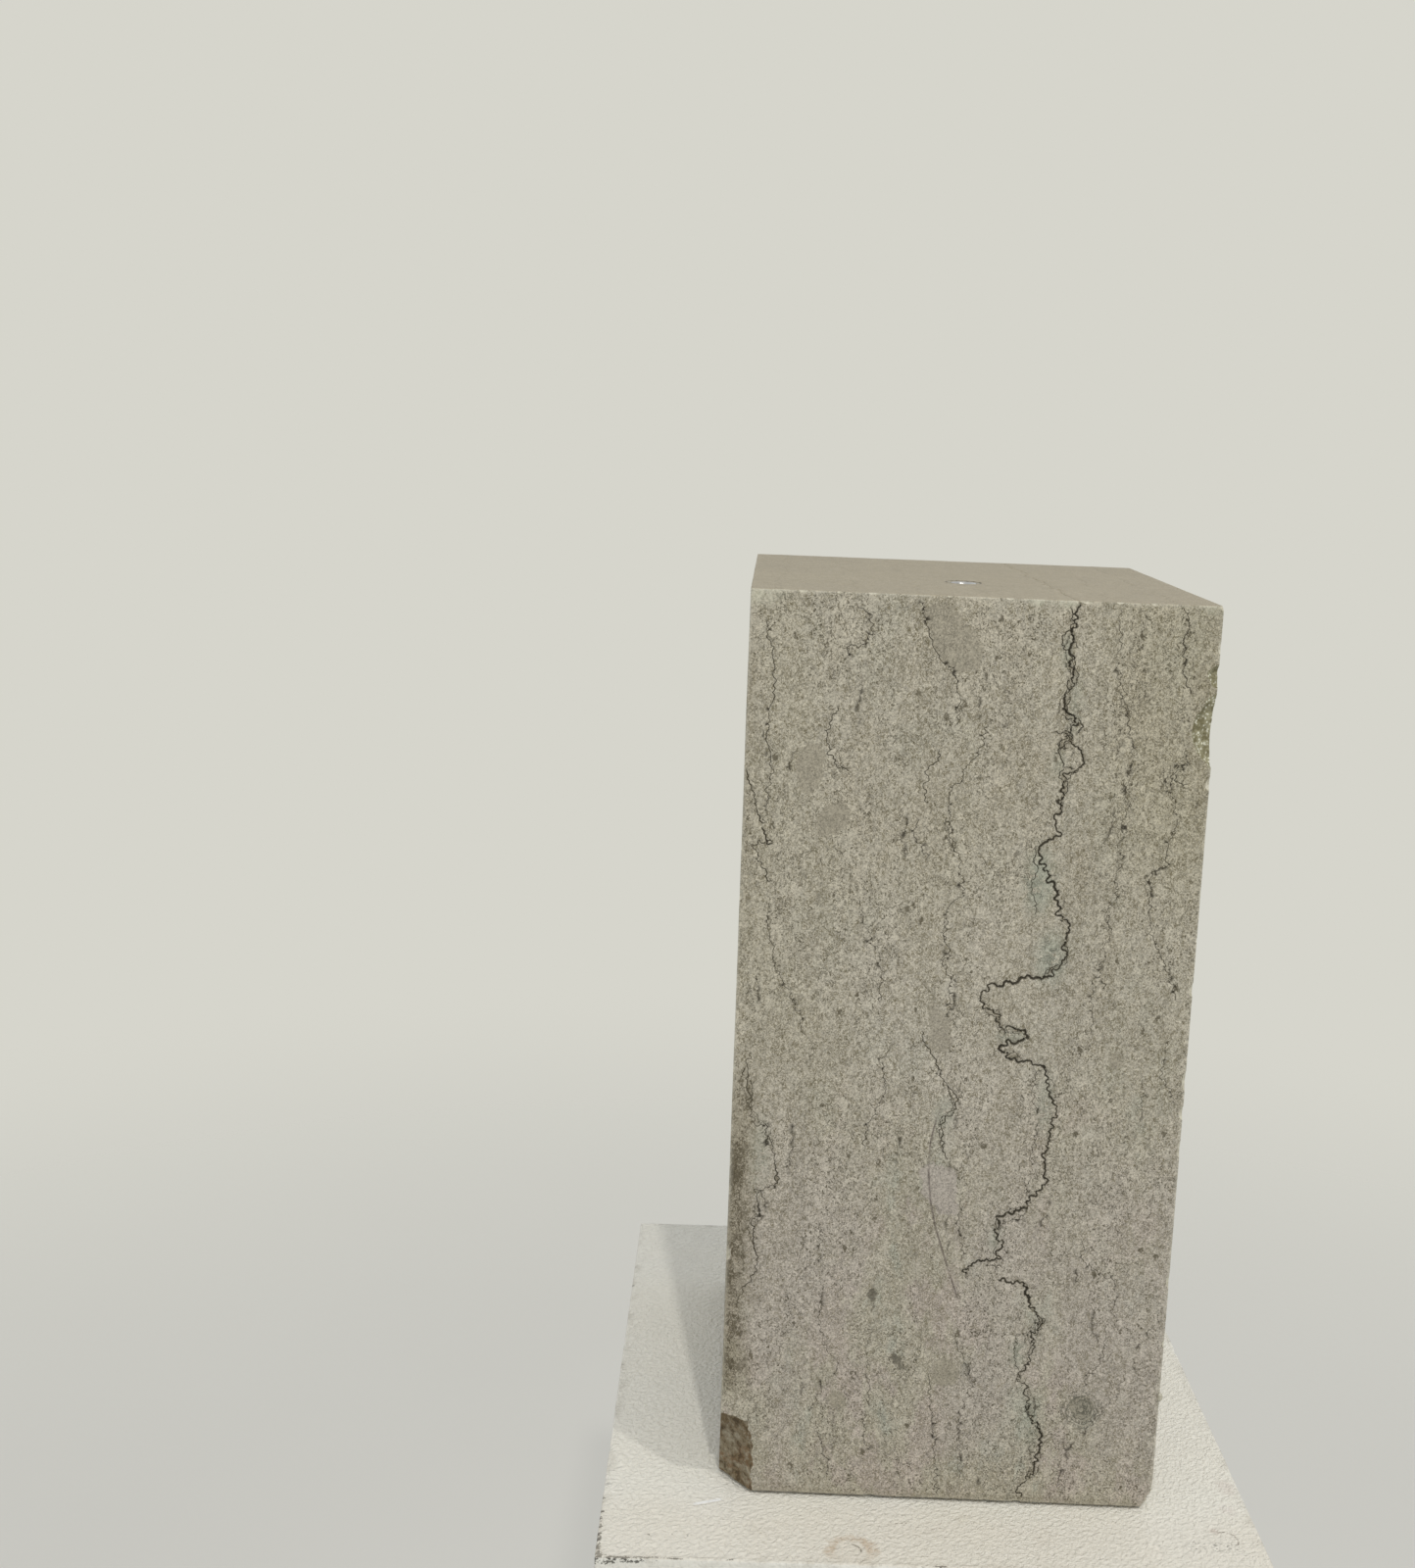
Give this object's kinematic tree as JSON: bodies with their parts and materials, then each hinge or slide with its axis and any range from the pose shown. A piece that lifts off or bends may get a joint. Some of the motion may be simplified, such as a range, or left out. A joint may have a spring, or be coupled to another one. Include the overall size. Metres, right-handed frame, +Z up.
{
  "type": "display plinth",
  "caption": "Two-tier display plinth: a sawn limestone block with a fixing socket in its top, on a tall square white pedestal with levelling feet.",
  "frame": {"origin": "on the floor, under the centre of the square pedestal", "axes": "+Z up, front faces -Y (the side with the block's broken foot at its left), +X to the right seen from the front"},
  "size_m": [0.3, 0.3, 1.4214],
  "materials": {
    "white_painted_mdf": "18 mm MDF, roller-coated matt white emulsion, scuffed at the arrises",
    "softwood": "sawn and planed pine, unfinished",
    "birch_plywood": "sanded birch plywood, unfinished",
    "zinc_plated_steel": "bright zinc plating",
    "stainless_steel": "turned stainless steel",
    "oxidised_steel": "dark oxidised wire",
    "black_nylon": "moulded black nylon",
    "grey_felt": "pressed wool felt",
    "anchor_resin": "cured stone-coloured resin",
    "grey_limestone": "sawn and honed fossil limestone with stylolite veins, arrises chipped"
  },
  "bodies": {
    "pedestal": {"top_panel": "white_painted_mdf", "front_panel": "white_painted_mdf", "right_panel": "white_painted_mdf", "back_panel": "white_painted_mdf", "left_panel": "white_painted_mdf", "corner_batten_fl": "softwood", "corner_batten_fr": "softwood", "corner_batten_bl": "softwood", "corner_batten_br": "softwood", "top_cleat_front": "softwood", "top_cleat_back": "softwood", "top_cleat_left": "softwood", "top_cleat_right": "softwood", "cleat_screw_front": "zinc_plated_steel", "cleat_screw_back": "zinc_plated_steel", "cleat_screw_left": "zinc_plated_steel", "cleat_screw_right": "zinc_plated_steel", "mid_brace": "birch_plywood", "base_board": "birch_plywood", "base_screw_fl": "zinc_plated_steel", "base_screw_fr": "zinc_plated_steel", "base_screw_bl": "zinc_plated_steel", "base_screw_br": "zinc_plated_steel", "tee_nut_fl": "zinc_plated_steel", "tee_nut_fr": "zinc_plated_steel", "tee_nut_bl": "zinc_plated_steel", "tee_nut_br": "zinc_plated_steel", "brad_front_l": "oxidised_steel", "brad_front_r": "oxidised_steel", "brad_right_f": "oxidised_steel", "brad_right_b": "oxidised_steel", "brad_back_l": "oxidised_steel", "brad_back_r": "oxidised_steel", "brad_left_b": "oxidised_steel", "brad_left_f": "oxidised_steel"},
    "stone": {"stone_block": "grey_limestone", "socket_resin": "anchor_resin", "fixing_socket": "stainless_steel", "felt_pad_fl": "grey_felt", "felt_pad_fr": "grey_felt", "felt_pad_bl": "grey_felt", "felt_pad_br": "grey_felt"},
    "foot_pad_fl": {"leveller_pad_fl": "black_nylon"},
    "foot_stem_fl": {"leveller_stem_fl": "zinc_plated_steel"},
    "foot_pad_fr": {"leveller_pad_fr": "black_nylon"},
    "foot_stem_fr": {"leveller_stem_fr": "zinc_plated_steel"},
    "foot_pad_bl": {"leveller_pad_bl": "black_nylon"},
    "foot_stem_bl": {"leveller_stem_bl": "zinc_plated_steel"},
    "foot_pad_br": {"leveller_pad_br": "black_nylon"},
    "foot_stem_br": {"leveller_stem_br": "zinc_plated_steel"}
  },
  "joints": [
    {"name": "stone_lift", "type": "slide", "parent": "pedestal", "child": "stone", "axis": [0, 0, 1], "range_m": [0, 0.06]},
    {"name": "foot_slide_fl", "type": "slide", "parent": "pedestal", "child": "foot_pad_fl", "axis": [0, 0, -1], "range_m": [0, 0.02]},
    {"name": "foot_turn_fl", "type": "hinge", "parent": "foot_pad_fl", "child": "foot_stem_fl", "pos_m": [-0.095, -0.095, 0.018], "axis": [0, 0, -1], "range_deg": [-1, 4801]},
    {"name": "foot_slide_fr", "type": "slide", "parent": "pedestal", "child": "foot_pad_fr", "axis": [0, 0, -1], "range_m": [0, 0.02]},
    {"name": "foot_turn_fr", "type": "hinge", "parent": "foot_pad_fr", "child": "foot_stem_fr", "pos_m": [0.095, -0.095, 0.018], "axis": [0, 0, -1], "range_deg": [-1, 4801]},
    {"name": "foot_slide_bl", "type": "slide", "parent": "pedestal", "child": "foot_pad_bl", "axis": [0, 0, -1], "range_m": [0, 0.02]},
    {"name": "foot_turn_bl", "type": "hinge", "parent": "foot_pad_bl", "child": "foot_stem_bl", "pos_m": [-0.095, 0.095, 0.018], "axis": [0, 0, -1], "range_deg": [-1, 4801]},
    {"name": "foot_slide_br", "type": "slide", "parent": "pedestal", "child": "foot_pad_br", "axis": [0, 0, -1], "range_m": [0, 0.02]},
    {"name": "foot_turn_br", "type": "hinge", "parent": "foot_pad_br", "child": "foot_stem_br", "pos_m": [0.095, 0.095, 0.018], "axis": [0, 0, -1], "range_deg": [-1, 4801]}
  ],
  "couplings": [
    {"joint": "foot_turn_fl", "follows": "foot_slide_fl", "rad_per_m": 4188.8},
    {"joint": "foot_turn_fr", "follows": "foot_slide_fr", "rad_per_m": 4188.8},
    {"joint": "foot_turn_bl", "follows": "foot_slide_bl", "rad_per_m": 4188.8},
    {"joint": "foot_turn_br", "follows": "foot_slide_br", "rad_per_m": 4188.8}
  ]
}
